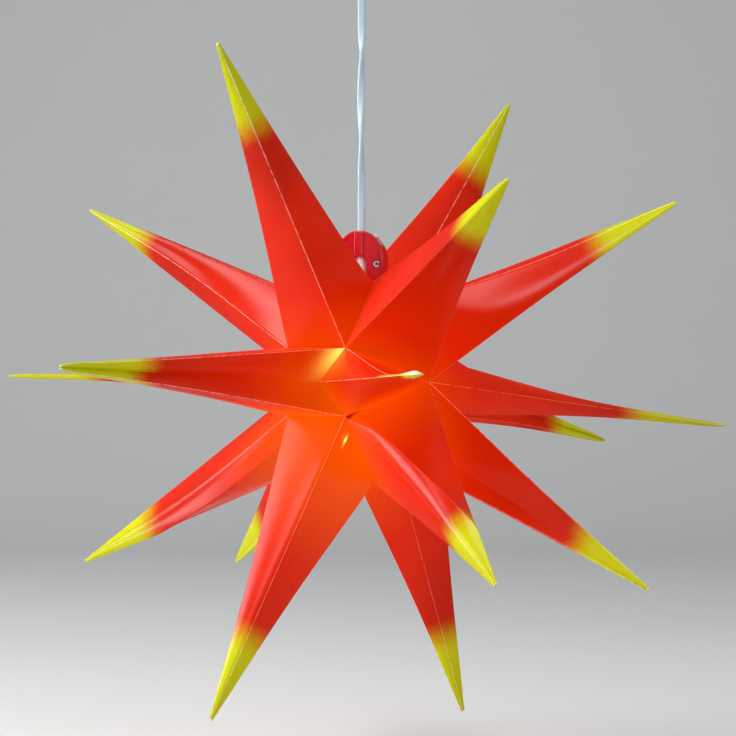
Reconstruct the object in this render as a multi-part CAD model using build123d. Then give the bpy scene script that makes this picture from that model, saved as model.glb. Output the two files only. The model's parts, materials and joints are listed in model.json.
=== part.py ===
from build123d import *
from math import cos, radians, sin, sqrt
import os

os.makedirs("parts", exist_ok=True)

# All sizes are millimetres and degrees. The origin is the middle of the hanging eye, +Z is up, the star's
# front faces -Y. Heights of the star's own pieces are counted from the middle of its hub.
HANG_HEIGHT = 360.0      # eye's middle over the hub's middle

# Film star: where the spikes' base corners lie on the hub
PINCH_TURN = 45.0        # azimuth of one pinched seam, the other lies half a turn on
SIDE_SPREAD = 58.0       # from a pinched seam round to the seam beside it
PINCH_RADIUS = 72.0
BELT_RADIUS = 70.0
BELT_HEIGHT = 26.5       # belt corners above and below the hub's middle
FOLD_TURN = 16.0         # the mid fold of an open seam bulges this far towards its wide column
FOLD_RADIUS = 75.0
MOUTH_RADIUS = 26.0      # low corners of the top and bottom mouths
MOUTH_HEIGHT = 57.0
PEAK_RADIUS = 28.0       # the two high corners of each mouth
PEAK_HEIGHT = 82.0
PEAK_TURN = 27.5         # a peak lies this far round from its seam

# Film star: the spikes
TIP_REACH = 300.0        # hub middle to each cut tip
TIP_CUT = 11.0           # length cut off each point
KNEE_SHARES = (0.2, 0.45, 0.7)  # the ridges bend at knees, these shares of the way from base to point
FILM_THICK = 0.6
SEAM_GAP = 0.2           # between neighbouring spikes along a welded seam

# Each spike leans its own way: azimuth from the front towards +X, rise above the horizon, and the share of
# the straight width that it draws in half way along
COLUMNS = ("front", "right", "back_right", "back", "left", "front_left")
LEANS = {
    "upper": ((21.5, 27.5, 0.1), (60, 26.5, 0.1), (132, 55, 0.1),
              (202, 28, 0.1), (247.5, 30, 0.1), (311, 60, 0.14)),
    "middle": ((8, 1, 0.5), (92, -7, 0.55), (131, -10.5, 0.3),
               (188, 0, 0.5), (264, 1, 0.55), (314, 2, 0.02)),
    "lower": ((19.5, -27.5, 0.1), (53.5, -30.5, 0.1), (127.5, -69.5, 0.1),
              (209, -34, 0.1), (250, -31, 0.1), (309, -59.5, 0.1)),
}
SAGS = {"middle_spike_right": 4.0}  # how far a slack spike hangs below its straight line, half way along

# Flat twin lead
LEAD_WIDTH = 6.2
LEAD_THICK = 3.2
LEAD_CLEAR = 0.2
TURN_GAP = 0.3           # free lead to the turning cap
CORE_RADIUS = 0.9        # insulated wire of one core
CORE_PITCH = 3.9         # between the two cores

# Clamp cap: a tall oval puck of two halves, cut level at top and bottom
CAP_TURN = -12.0         # azimuth that the front half faces
CAP_HALF_WIDE = 20.5
CAP_HALF_TALL = 24.5
CAP_OVER_MOUTH = 40.5    # the cap's middle over the film's low mouth corners
CAP_TOP_FLAT = 7.2       # width of the level top
CAP_FLOOR_FLAT = 26.8    # width of the level floor
CAP_HALF_DEPTH = 11.5
CAP_WALL = 2.0
CAP_EDGE = 1.4           # sloped border of the outer edge
BEAD_INSET = 1.5
BEAD_WIDTH = 0.9
BEAD_RISE = 0.5
CHANNEL_WIDTH = 7.2      # raised cord channel on each half
CHANNEL_RISE = 1.4
CHANNEL_ROUND = 1.0      # rounding of the channel's long edges
WINDOW_WIDTH = 13.0      # arched window of the front half, under the channel
WINDOW_TALL = 20.0
CLAMP_BAR_DROP = 11.5    # bars that grip the lead, below the cap's top
CLAMP_BAR_TALL = 4.0
CLAMP_BAR_WIDE = 9.0
PIN_OFFSET = 14.6        # snap pins, sideways from the middle
PIN_DROP = 3.0           # below the cap's middle
PIN_RADIUS = 2.7
PIN_BORE = 1.3
PIN_CLEAR = 0.12
PIN_HOLE = 3.3           # wider mouth in the front half
PIN_SINK = 1.6           # pin end below the front face
BOSS_RADIUS = 4.4
STRAP_OFFSET = 12.3      # hinge straps on the shoulders, sideways from the middle
STRAP_WIDTH = 3.4
STRAP_THICK = 1.4
STRAP_LONG = 10.0
STRAP_CLEAR = 0.1
STRAP_ROUND_SHARE = 0.25  # corner rounding as a share of the strap's width

# Lampholder
NECK_RADIUS = 9.0
NECK_TALL = 20.7         # neck above the groove
NECK_BORE = 5.4
GROOVE_RADIUS = 7.4      # the cap's floor grips the neck here
GROOVE_CLEAR = 0.3
HOLDER_RADIUS = 14.0
HOLDER_LONG = 36.7       # body below the groove
HOLDER_BORE = 10.6
HOLDER_ROOF = 3.2
TERMINAL_SPACE = 7.5     # bore's roof down to the insert
INSERT_THICK = 4.0
INSERT_CLEAR = 0.15
TERMINAL_WIDE = 5.0
TERMINAL_DEEP = 6.0
TERMINAL_TALL = 5.6
SCREW_RADIUS = 1.3
SCREW_LONG = 1.8
SLEEVE_RADIUS = 8.1
SLEEVE_WALL = 0.7
SLEEVE_LONG = 17.5
TONGUE_LONG = 6.0
TONGUE_WIDE = 3.0
TONGUE_THICK = 1.5
LEAD_TUCK = 10.0         # the lead's sheath reaches this far into the neck

# Retaining ring: a cone under the film's top edges, screwed onto the holder
RING_CLEAR = 0.8
RING_THREAD_CLEAR = 0.3
RING_COLLAR = 2.3
RING_COLLAR_TALL = 9.0
RING_SLOPE = 1.03        # fall of the cone per radius
RING_RADIUS = 31.0
RING_WALL = 2.2

# LED lamp
LAMP_GAP = 0.3           # to the centre contact tongue
THREAD_CLEAR = 0.5
BUTTON_RADIUS = 2.2
BUTTON_TALL = 1.4
INSULATOR_TALL = 2.6
LAMP_CAP_WALL = 0.6
LAMP_TOP_GAP = 0.6       # housing below the holder's rim
HOUSING_TOP_RADIUS = 9.0
HOUSING_RADIUS = 16.0
HOUSING_TALL = 19.0
HOUSING_PLUG = 8.0       # stub inside the screw cap
BOARD_RADIUS = 13.0
BOARD_THICK = 1.6
CHIP_COUNT = 8
CHIP_CIRCLE = 9.0
CHIP_SIDE = 3.0
CHIP_THICK = 0.8
GLOBE_RADIUS = 19.5
GLOBE_DROP = 18.0        # globe's middle below its rim
GLOBE_WALL = 1.0

# Hanging fitting
EYE_BORE = 7.5
EYE_RADIUS = 13.0
HANGER_THICK = 9.0
HANGER_WIDE = 24.0
HANGER_SHOULDER = 10.0   # top of the block below the eye's middle
HANGER_FOOT = 36.0
HANGER_ROUND = 2.0
SPOUT_TOP_RADIUS = 6.0
SPOUT_RADIUS = 4.6
SPOUT_TALL = 8.0
LEAD_SEAT = 18.0         # the lead's upper end below the eye's middle
PLATE_WIDE = 20.0
PLATE_TALL = 14.0
PLATE_CLEAR = 0.2
PLATE_TOP = 19.0
PLATE_SCREW_OFFSET = 6.8
PLATE_SCREW_RADIUS = 1.5
PLATE_SCREW_HEAD = 2.7
PLATE_SCREW_HEAD_TALL = 1.6
PLATE_SCREW_DEPTH = 6.0

HUB = -HANG_HEIGHT
HALF_TURN = 180.0
QUARTER_TURN = 90.0
SEAMS_PER_HALF = len(COLUMNS) // 2
ON_ITS_FOOT = (Align.CENTER, Align.CENTER, Align.MIN)
CAP_MIDDLE = MOUTH_HEIGHT + CAP_OVER_MOUTH
CAP_TOP = CAP_MIDDLE + CAP_HALF_TALL * sqrt(1 - (CAP_TOP_FLAT / 2 / CAP_HALF_WIDE) ** 2)
CAP_BOTTOM = CAP_MIDDLE - CAP_HALF_TALL * sqrt(1 - (CAP_FLOOR_FLAT / 2 / CAP_HALF_WIDE) ** 2)
WINDOW_TOP = CAP_BOTTOM + CAP_WALL + WINDOW_TALL
PIN_HEIGHT = CAP_MIDDLE - PIN_DROP
GROOVE_LOW = CAP_BOTTOM - GROOVE_CLEAR
GROOVE_HIGH = CAP_BOTTOM + CAP_WALL + GROOVE_CLEAR
NECK_TOP = GROOVE_HIGH + NECK_TALL
HOLDER_BOTTOM = GROOVE_LOW - HOLDER_LONG
HOLDER_BORE_TOP = GROOVE_LOW - HOLDER_ROOF
INSERT_TOP = HOLDER_BORE_TOP - TERMINAL_SPACE
LEAD_END = NECK_TOP - LEAD_TUCK


def save(node, *solids):
    """Write one node's solids to its STEP file."""
    shape = solids[0] if len(solids) == 1 else Compound(children=list(solids))
    export_step(shape, f"parts/{node}.step")


def at(turn, radius, height):
    """A point given by azimuth, distance from the axis and height over the hub's middle."""
    return Vector(radius * sin(radians(turn)), -radius * cos(radians(turn)), HUB + height)


def polygon(points):
    return Face(Wire.make_polygon(points, close=True))


def upright(radius, low, high):
    """A cylinder on the star's axis between two heights."""
    return Pos(0, 0, HUB + low) * Cylinder(radius, high - low, align=ON_ITS_FOOT)


def turned(points):
    """Spin an outline of (radius, height) points round the star's axis."""
    outline = Polyline(*[(r, 0, HUB + z) for r, z in points], close=True)
    return revolve(make_face(outline), Axis.Z)


# Film star


def seam_turn(seam):
    half, place = divmod(seam % len(COLUMNS), SEAMS_PER_HALF)
    return PINCH_TURN + HALF_TURN * half + (0, SIDE_SPREAD, HALF_TURN - SIDE_SPREAD)[place]


def belt_corner(seam, side):
    if seam % SEAMS_PER_HALF == 0:
        return at(seam_turn(seam), PINCH_RADIUS, 0)
    return at(seam_turn(seam), BELT_RADIUS, side * BELT_HEIGHT)


def mouth_corner(seam, side):
    if seam % SEAMS_PER_HALF == 2:
        return at(seam_turn(seam) + PEAK_TURN, PEAK_RADIUS, side * PEAK_HEIGHT)
    return at(seam_turn(seam), MOUTH_RADIUS, side * MOUTH_HEIGHT)


def side_corners(seam):
    """A middle spike's corners along one seam, from the bottom up."""
    if seam % SEAMS_PER_HALF == 0:
        return [belt_corner(seam, 0)]
    turn = FOLD_TURN if seam % SEAMS_PER_HALF == 1 else -FOLD_TURN
    fold = at(seam_turn(seam) + turn, FOLD_RADIUS, 0)
    return [belt_corner(seam, -1), fold, belt_corner(seam, 1)]


def base_corners(row, column):
    """The corners where a spike leaves the hub, counter-clockwise seen from outside."""
    left, right = column - 1, column
    if row == "middle":
        return side_corners(right) + side_corners(left)[::-1]
    side = 1 if row == "upper" else -1
    ring = [belt_corner(left, side), belt_corner(right, side)]
    ring += [mouth_corner(right, side), mouth_corner(left, side)]
    return ring if side > 0 else ring[::-1]


def spike(row, column, sag):
    """A hollow film point, open to the hub, drawn in at its knees, with its end cut off square."""
    turn, rise, pinch = LEANS[row][column]
    hub = Vector(0, 0, HUB)
    axis = at(turn, cos(radians(rise)), sin(radians(rise))) - hub
    apex = hub + axis * (TIP_REACH + TIP_CUT)
    corners = base_corners(row, column)
    count = len(corners)
    middle = sum(corners, Vector()) * (1 / count)

    reach = []
    for i, corner in enumerate(corners):
        edge = corners[(i + 1) % count] - corner
        normal = edge.cross(apex - corner).normalized()
        reach.append(abs((middle - corner).dot(normal)))
    half_width = sum(reach) / count
    seam_share = SEAM_GAP / 2 / min(reach)
    film_share = FILM_THICK / half_width

    def ring(share, size):
        """One side of the film, a share of the way from base to point, drawn to a share of full size."""
        bend = 4 * share * (1 - share)
        width = (1 - share) * (1 - pinch * bend) * (1 - seam_share)
        lift = (apex - middle) * share - Vector(0, 0, sag * bend)
        return [middle + (lift + (c - middle) * width) * size for c in corners]

    outer = [ring(share, 1) for share in (0, *KNEE_SHARES)]
    inner = [ring(share, 1 - film_share) for share in (0, *KNEE_SHARES)]
    inner_point = middle + (apex - middle) * (1 - film_share)
    faces = []
    for i in range(count):
        j = (i + 1) % count
        faces.append(polygon([outer[0][j], outer[0][i], inner[0][i], inner[0][j]]))
        for low, high in zip(outer, outer[1:]):
            faces.append(polygon([low[i], low[j], high[j], high[i]]))
        for low, high in zip(inner, inner[1:]):
            faces.append(polygon([low[j], low[i], high[i], high[j]]))
        faces.append(polygon([outer[-1][i], outer[-1][j], apex]))
        faces.append(polygon([inner[-1][j], inner[-1][i], inner_point]))
    film = Solid(Shell(faces))
    return split(film, bisect_by=Plane(hub + axis * TIP_REACH, z_dir=axis), keep=Keep.BOTTOM)


for row_name in LEANS:
    for place, column_name in enumerate(COLUMNS):
        spike_name = f"{row_name}_spike_{column_name}"
        save(spike_name, spike(row_name, place, SAGS.get(spike_name, 0)))


# Clamp cap, drawn on a plane through the axis: sideways, then height over the hub's middle

front_way = Vector(sin(radians(CAP_TURN)), -cos(radians(CAP_TURN)), 0)
side_way = Vector(cos(radians(CAP_TURN)), sin(radians(CAP_TURN)), 0)
cap_plane = Plane(origin=(0, 0, HUB), x_dir=side_way, z_dir=front_way)
rear_plane = Plane(origin=(0, 0, HUB), x_dir=-side_way, z_dir=-front_way)


def cap_outline(inset):
    """The puck's outline, drawn in by an inset: an oval between a level top and a level floor."""
    oval = Pos(0, CAP_MIDDLE) * Ellipse(CAP_HALF_WIDE - inset, CAP_HALF_TALL - inset)
    tall = CAP_TOP - CAP_BOTTOM - 2 * inset
    return oval & Pos(0, (CAP_TOP + CAP_BOTTOM) / 2) * Rectangle(2 * CAP_HALF_WIDE, tall)


def lead_section(clear):
    return SlotOverall(LEAD_WIDTH + 2 * clear, LEAD_THICK + 2 * clear)


def lead_run(low, high, clear=0.0):
    """A straight stretch of the flat lead, or its hole, between two heights."""
    base = Pos(0, 0, HUB + low) * Rot(0, 0, CAP_TURN) * lead_section(clear)
    return extrude(base, high - low, dir=(0, 0, 1))


def cap_half(plane):
    """One half of the cap, drawn facing the plane's normal and open at the split."""
    border = CAP_HALF_DEPTH - CAP_EDGE
    rim = Pos(0, 0, border) * cap_outline(0)
    face = Pos(0, 0, CAP_HALF_DEPTH) * cap_outline(CAP_EDGE)
    body = extrude(cap_outline(0), border)
    body += loft([rim, face], ruled=True)
    body -= extrude(cap_outline(CAP_WALL), CAP_HALF_DEPTH - CAP_WALL)
    bead = cap_outline(BEAD_INSET) - cap_outline(BEAD_INSET + BEAD_WIDTH)
    body += Pos(0, 0, CAP_HALF_DEPTH) * extrude(bead, BEAD_RISE)

    channel_tall = CAP_TOP - CAP_EDGE - WINDOW_TOP
    channel = Pos(0, WINDOW_TOP + channel_tall / 2) * Rectangle(CHANNEL_WIDTH, channel_tall)
    rib = Pos(0, 0, CAP_HALF_DEPTH - CAP_WALL) * extrude(channel, CAP_WALL + CHANNEL_RISE)
    body += fillet(rib.edges().filter_by(Axis.Y).group_by(Axis.Z)[-1], CHANNEL_ROUND)

    bar = Pos(0, CAP_TOP - CLAMP_BAR_DROP) * Rectangle(CLAMP_BAR_WIDE, CLAMP_BAR_TALL)
    seat = LEAD_THICK / 2 + LEAD_CLEAR
    body += Pos(0, 0, seat) * extrude(bar, CAP_HALF_DEPTH - CAP_WALL - seat)

    pins = [Pos(side * PIN_OFFSET, PIN_HEIGHT) for side in (-1, 1)]
    for pin in pins:
        body += extrude(pin * Circle(BOSS_RADIUS), CAP_HALF_DEPTH - CAP_WALL)
        body -= extrude(pin * Circle(PIN_RADIUS + PIN_CLEAR), CAP_HALF_DEPTH - CAP_WALL)
    half = plane * body
    half -= upright(GROOVE_RADIUS + GROOVE_CLEAR, CAP_BOTTOM, CAP_BOTTOM + CAP_WALL)
    half -= lead_run(CAP_TOP - CAP_WALL, CAP_TOP, LEAD_CLEAR)
    return half


def front_half():
    half = cap_half(cap_plane)
    spring = WINDOW_TOP - WINDOW_WIDTH / 2
    sill = CAP_BOTTOM + CAP_WALL
    arch = Pos(0, spring) * Circle(WINDOW_WIDTH / 2)
    arch += Pos(0, (spring + sill) / 2) * Rectangle(WINDOW_WIDTH, spring - sill)
    cut = CAP_WALL + CHANNEL_RISE + BEAD_RISE
    half -= cap_plane * (Pos(0, 0, CAP_HALF_DEPTH - CAP_WALL) * extrude(arch, cut))
    for side in (-1, 1):
        hole = Pos(side * PIN_OFFSET, PIN_HEIGHT, CAP_HALF_DEPTH - CAP_WALL) * Circle(PIN_HOLE)
        half -= cap_plane * extrude(hole, cut)
    return half


def snap_pin(side):
    low = -(CAP_HALF_DEPTH - CAP_WALL)
    section = Circle(PIN_RADIUS) - Circle(PIN_BORE)
    pin = extrude(section, CAP_HALF_DEPTH - PIN_SINK - low)
    return cap_plane * (Pos(side * PIN_OFFSET, PIN_HEIGHT, low) * pin)


def hinge_strap(side):
    """A strap across the split, lying on the cap's round shoulder."""
    share = STRAP_OFFSET / CAP_HALF_WIDE
    rise = sqrt(1 - share**2)
    seat_spot = Vector(side * STRAP_OFFSET, CAP_MIDDLE + CAP_HALF_TALL * rise, 0)
    way = Vector(side * share / CAP_HALF_WIDE, rise / CAP_HALF_TALL, 0).normalized()
    middle = seat_spot + way * (STRAP_CLEAR + STRAP_THICK / 2)
    strap = Box(STRAP_WIDTH, STRAP_LONG, STRAP_THICK)
    strap = fillet(strap.edges().filter_by(Axis.Z), STRAP_WIDTH * STRAP_ROUND_SHARE)
    seat = Plane(origin=middle, x_dir=Vector(way.Y, -way.X, 0), z_dir=way)
    return cap_plane * (seat * strap)


save("cap_front", front_half())
save("cap_rear", cap_half(rear_plane))
save("cap_pins", snap_pin(-1), snap_pin(1))
save("cap_straps", hinge_strap(-1), hinge_strap(1))


# Lampholder

insert_low = INSERT_TOP - INSERT_THICK
holder = turned([
    (HOLDER_BORE, HOLDER_BOTTOM), (HOLDER_RADIUS, HOLDER_BOTTOM), (HOLDER_RADIUS, GROOVE_LOW),
    (GROOVE_RADIUS, GROOVE_LOW), (GROOVE_RADIUS, GROOVE_HIGH), (NECK_RADIUS, GROOVE_HIGH),
    (NECK_RADIUS, NECK_TOP), (NECK_BORE, NECK_TOP), (NECK_BORE, HOLDER_BORE_TOP),
    (HOLDER_BORE, HOLDER_BORE_TOP),
])
save("lampholder_body", holder)
save("lampholder_insert", upright(HOLDER_BORE - INSERT_CLEAR, insert_low, INSERT_TOP))
save("lampholder_sleeve", upright(SLEEVE_RADIUS, insert_low - SLEEVE_LONG, insert_low)
     - upright(SLEEVE_RADIUS - SLEEVE_WALL, insert_low - SLEEVE_LONG, insert_low))

terminal_plane = Plane(origin=(0, 0, HUB), x_dir=side_way, z_dir=(0, 0, 1))
terminals, screws, wires = [], [], []
for side in (-1, 1):
    wire_place = side * CORE_PITCH / 2
    block_place = wire_place + side * (TERMINAL_WIDE / 2 - CORE_RADIUS)
    lift = INSERT_TOP + TERMINAL_TALL / 2
    block = Box(TERMINAL_WIDE, TERMINAL_DEEP, TERMINAL_TALL)
    terminals.append(terminal_plane * Pos(block_place, 0, lift) * block)
    screw_place = block_place + side * (TERMINAL_WIDE + SCREW_LONG) / 2
    screw = Rot(0, QUARTER_TURN, 0) * Cylinder(SCREW_RADIUS, SCREW_LONG)
    screws.append(terminal_plane * Pos(screw_place, 0, lift) * screw)
    wire_low = INSERT_TOP + TERMINAL_TALL
    wire = Cylinder(CORE_RADIUS, LEAD_END - wire_low, align=ON_ITS_FOOT)
    wires.append(terminal_plane * Pos(wire_place, 0, wire_low) * wire)
save("lampholder_terminals", *terminals)
save("terminal_screws", *screws)
save("lead_wires", *wires)

tongue_lift = insert_low - TONGUE_THICK / 2
tongue = terminal_plane * Pos(0, 0, tongue_lift) * Box(TONGUE_LONG, TONGUE_WIDE, TONGUE_THICK)
save("centre_contact", tongue)

edge_radius = MOUTH_RADIUS * cos(radians(SIDE_SPREAD / 2))
ring_inner = HOLDER_RADIUS + RING_THREAD_CLEAR
collar_radius = ring_inner + RING_COLLAR


def cone_height(radius):
    """The retaining cone's upper face, just under the middle of the film's low mouth edges."""
    return MOUTH_HEIGHT - RING_CLEAR - RING_SLOPE * (radius - edge_radius)


retaining_ring = turned([
    (ring_inner, cone_height(collar_radius) - RING_COLLAR_TALL),
    (collar_radius, cone_height(collar_radius) - RING_COLLAR_TALL),
    (collar_radius, cone_height(collar_radius) - RING_WALL),
    (RING_RADIUS, cone_height(RING_RADIUS) - RING_WALL),
    (RING_RADIUS, cone_height(RING_RADIUS)),
    (collar_radius, cone_height(collar_radius)),
    (ring_inner, cone_height(collar_radius)),
])
save("retaining_ring", retaining_ring)


# LED lamp, turning on the star's axis

lamp_radius = SLEEVE_RADIUS - SLEEVE_WALL - THREAD_CLEAR
button_top = insert_low - TONGUE_THICK - LAMP_GAP
button_low = button_top - BUTTON_TALL
insulator_low = button_low - INSULATOR_TALL
housing_top = HOLDER_BOTTOM - LAMP_TOP_GAP
housing_low = housing_top - HOUSING_TALL
plug_radius = lamp_radius - LAMP_CAP_WALL
plug_top = housing_top + HOUSING_PLUG
globe_middle = housing_low - GLOBE_DROP

save("lamp_contact", upright(BUTTON_RADIUS, button_low, button_top))
save("lamp_insulator", turned([
    (0, insulator_low), (lamp_radius, insulator_low), (BUTTON_RADIUS, button_low), (0, button_low),
]))
shell_bore = upright(plug_radius, housing_top, insulator_low)
save("lamp_cap", upright(lamp_radius, housing_top, insulator_low) - shell_bore)
save("lamp_housing", turned([
    (0, housing_low), (HOUSING_RADIUS, housing_low), (HOUSING_TOP_RADIUS, housing_top),
    (plug_radius, housing_top), (plug_radius, plug_top), (0, plug_top),
]))
save("led_board", upright(BOARD_RADIUS, housing_low - BOARD_THICK, housing_low))
chip_lift = HUB + housing_low - BOARD_THICK - CHIP_THICK / 2
chips = [loc * Box(CHIP_SIDE, CHIP_SIDE, CHIP_THICK)
         for loc in Pos(0, 0, chip_lift) * PolarLocations(CHIP_CIRCLE, CHIP_COUNT)]
save("led_chips", *chips)

globe = Pos(0, 0, HUB + globe_middle) * (Sphere(GLOBE_RADIUS) - Sphere(GLOBE_RADIUS - GLOBE_WALL))
neck_cut = upright(GLOBE_RADIUS, globe_middle, globe_middle + GLOBE_RADIUS)
dome = globe - neck_cut
shoulder = turned([
    (GLOBE_RADIUS, globe_middle), (HOUSING_RADIUS, housing_low), (HOUSING_RADIUS - GLOBE_WALL, housing_low),
    (GLOBE_RADIUS - GLOBE_WALL, globe_middle),
])
save("lamp_globe", dome + shoulder)


# Lead and hanging fitting

save("lead_inner", lead_run(LEAD_END, CAP_TOP))
lead_low = CAP_TOP + TURN_GAP
save("lead", lead_run(lead_low, HANG_HEIGHT - LEAD_SEAT))

spout_low = HANGER_FOOT + SPOUT_TALL
block_tall = HANGER_FOOT - HANGER_SHOULDER
block = Pos(0, 0, -HANGER_SHOULDER - block_tall / 2) * Box(HANGER_WIDE, HANGER_THICK, block_tall)
block = fillet(block.edges().filter_by(Axis.Y), HANGER_ROUND)
eye = Rot(QUARTER_TURN, 0, 0) * Cylinder(EYE_RADIUS, HANGER_THICK)
eye_bore = Rot(QUARTER_TURN, 0, 0) * Cylinder(EYE_BORE, HANGER_THICK)
spout = Pos(0, 0, -HANGER_FOOT - SPOUT_TALL / 2) * Cone(SPOUT_RADIUS, SPOUT_TOP_RADIUS, SPOUT_TALL)
hanger = block + eye - eye_bore
hanger = hanger + (spout & Box(HANGER_WIDE, HANGER_THICK, 2 * spout_low))
hanger -= lead_run(HANG_HEIGHT - spout_low, HANG_HEIGHT - LEAD_SEAT + LEAD_CLEAR, LEAD_CLEAR)

# The clamp plate fills a pocket in the block's front and bears on the lead's broad side
lead_face = (LEAD_THICK * cos(radians(CAP_TURN)) + LEAD_WIDTH * abs(sin(radians(CAP_TURN)))) / 2
plate_back = -lead_face - LEAD_CLEAR
plate_thick = HANGER_THICK / 2 + plate_back
plate_middle = -PLATE_TOP - PLATE_TALL / 2
pocket_thick = plate_thick + PLATE_CLEAR
pocket = Pos(0, plate_back + PLATE_CLEAR - pocket_thick / 2, plate_middle)
hanger -= pocket * Box(PLATE_WIDE + 2 * PLATE_CLEAR, pocket_thick, PLATE_TALL + 2 * PLATE_CLEAR)
plate = Pos(0, plate_back - plate_thick / 2, plate_middle) * Box(PLATE_WIDE, plate_thick, PLATE_TALL)

clamp_screws = []
for side in (-1, 1):
    tip = -HANGER_THICK / 2 + PLATE_SCREW_DEPTH
    spot = Pos(side * PLATE_SCREW_OFFSET, tip, plate_middle) * Rot(QUARTER_TURN, 0, 0)
    long = PLATE_SCREW_DEPTH
    shank = Cylinder(PLATE_SCREW_RADIUS, long, align=ON_ITS_FOOT)
    head = Cylinder(PLATE_SCREW_HEAD, PLATE_SCREW_HEAD_TALL, align=ON_ITS_FOOT)
    hole = Cylinder(PLATE_SCREW_RADIUS + PLATE_CLEAR, long, align=ON_ITS_FOOT)
    clamp_screws.append(spot * (shank + Pos(0, 0, long) * head))
    hanger -= spot * hole
    plate -= spot * hole
save("hanger_body", hanger)
save("hanger_clamp", plate)
save("hanger_screws", *clamp_screws)
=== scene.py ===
import json
from math import cos, exp, pi, radians, sin, sqrt, tan

import bmesh
import bpy
from bpy.props import FloatProperty, FloatVectorProperty, IntProperty, PointerProperty
from bpy.types import Operator, Panel, PropertyGroup
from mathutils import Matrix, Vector

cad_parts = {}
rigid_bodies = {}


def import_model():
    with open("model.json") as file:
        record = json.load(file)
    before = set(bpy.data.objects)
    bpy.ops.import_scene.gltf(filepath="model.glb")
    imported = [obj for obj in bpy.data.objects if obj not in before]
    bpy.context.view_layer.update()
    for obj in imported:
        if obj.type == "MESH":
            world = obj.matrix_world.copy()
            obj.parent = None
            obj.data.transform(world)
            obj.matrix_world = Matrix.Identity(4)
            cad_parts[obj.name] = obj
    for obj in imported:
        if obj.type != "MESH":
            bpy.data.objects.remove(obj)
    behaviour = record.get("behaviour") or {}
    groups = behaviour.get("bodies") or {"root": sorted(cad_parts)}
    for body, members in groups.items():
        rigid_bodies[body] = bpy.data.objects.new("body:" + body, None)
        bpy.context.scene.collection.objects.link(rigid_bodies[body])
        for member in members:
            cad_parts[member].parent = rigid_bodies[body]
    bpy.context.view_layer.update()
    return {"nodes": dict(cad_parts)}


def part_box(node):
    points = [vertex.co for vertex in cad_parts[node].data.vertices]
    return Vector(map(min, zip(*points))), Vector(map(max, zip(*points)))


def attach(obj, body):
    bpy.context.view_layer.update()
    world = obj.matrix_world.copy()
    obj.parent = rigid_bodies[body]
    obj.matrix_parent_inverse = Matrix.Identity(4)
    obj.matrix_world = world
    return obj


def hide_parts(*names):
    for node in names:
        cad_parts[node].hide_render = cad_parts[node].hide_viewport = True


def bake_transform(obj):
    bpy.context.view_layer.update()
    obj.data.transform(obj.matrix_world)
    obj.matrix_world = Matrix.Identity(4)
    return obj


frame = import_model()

bl_info = {
    "name": "Film Star Light",
    "version": (1, 0, 0),
    "blender": (4, 5, 0),
    "location": "View3D > Sidebar > Star",
    "description": "Dresses a hanging folded film star with its clamp cap, lamp, lead and hanging fitting",
    "category": "Object",
}

MM = 0.001
HUB = Vector((0.003, 0.0, -0.3616))
COLUMNS = ("front", "right", "back_right", "back", "left", "front_left")
ROWS = ("upper", "middle", "lower")

# Where the spikes' base corners lie on the hub, in millimetres and degrees
PINCH_TURN, SIDE_SPREAD, FRONT_SPREAD, HALF_TURN = 45.0, 72.0, 122.0, 180.0
PINCH_RADIUS, BELT_RADIUS, BELT_HEIGHT = 72.0, 70.0, 27.0
FOLD_TURN, FOLD_RADIUS = 16.0, 75.0
MOUTH_RADIUS, MOUTH_HEIGHT = 26.0, 57.0
PEAK_TURN, PEAK_RADIUS, PEAK_HEIGHT = 27.5, 28.0, 82.0
SEAMS_PER_HALF = 3

# Azimuth from the front towards +X, then rise above the horizon, for each spike of a row
LEANS = {
    "upper": ((21.5, 27.5), (60, 26.5), (132, 55), (200, 28), (247.5, 30), (311, 60)),
    "middle": ((6.7, 1), (92, -7), (131, -10.5), (188, 0), (264, 1), (314, 2)),
    "lower": ((19.5, -27.5), (53.5, -30.5), (127.5, -69.5), (209, -34), (250, -31), (309, -59.5)),
}

# How much each ridge draws in towards the spike's middle, for each of its base corners
EVEN_PINCH = 0.1
PINCHES = {
    "upper_right": (0.1, 0.1, 0.0, 0.4),
    "upper_left": (0.0, 0.5, 0.0, 0.0),
    "lower_left": (0.0, 0.0, 0.5, 0.0),
    "middle_front": (0.85, 0.88, 0.2, 0.88),
    "middle_right": (0.3, 0.5, 0.76, 0.0),
    "middle_back_right": (0.3, 0.3, 0.3, 0.3, 0.3, 0.3),
    "middle_back": (0.2, 0.6, 0.3, 0.6),
    "middle_left": (0.75, 0.5, 0.7, 0.2),
    "middle_front_left": (0.12, 0.0, 0.03, 0.05, 0.0, 0.1),
}

# How much a slack ridge gives way close to its base corner
SLACK = {"middle_right": (0.0, 0.0, 0.3, 0.0), "upper_front_left": (0.0, 0.0, 0.06, 0.0)}

# Width of a tip that isn't sharp, as a share of the base's, and how far its end closes
BLUNT = {"middle_front": (0.16, 0.4), "middle_front_left": (0.13, 0.35), "middle_back_right": (0.06, 0.5),
         "middle_right": (0.05, 0.35), "middle_left": (0.05, 0.35)}

# Second folds left by packing the star flat: distance from the panel's last ridge at the base, how much it
# grows along the spike, and how far the fold stands out
FOLDS = {
    ("lower_front", 2): (0.0060, 0.0160, 0.0075),
    ("lower_right", 3): (0.0192, -0.0215, -0.0060),
    ("lower_left", 1): (0.0145, -0.0040, 0.0095),
    ("lower_front_left", 1): (0.0130, -0.0080, -0.0015),
}

# Panels that bow in their own way: how far out, and how much the bow leans towards the panel's last ridge
BOWS = {("upper_right", 3): (0.0016, 1.8)}

# Ridges that are rounded more than a folded one, and how far to each side
SOFT_RIDGES = {("lower_front", 3): 0.0100, ("lower_front_left", 2): 0.0030, ("lower_left", 2): 0.0030}

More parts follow.
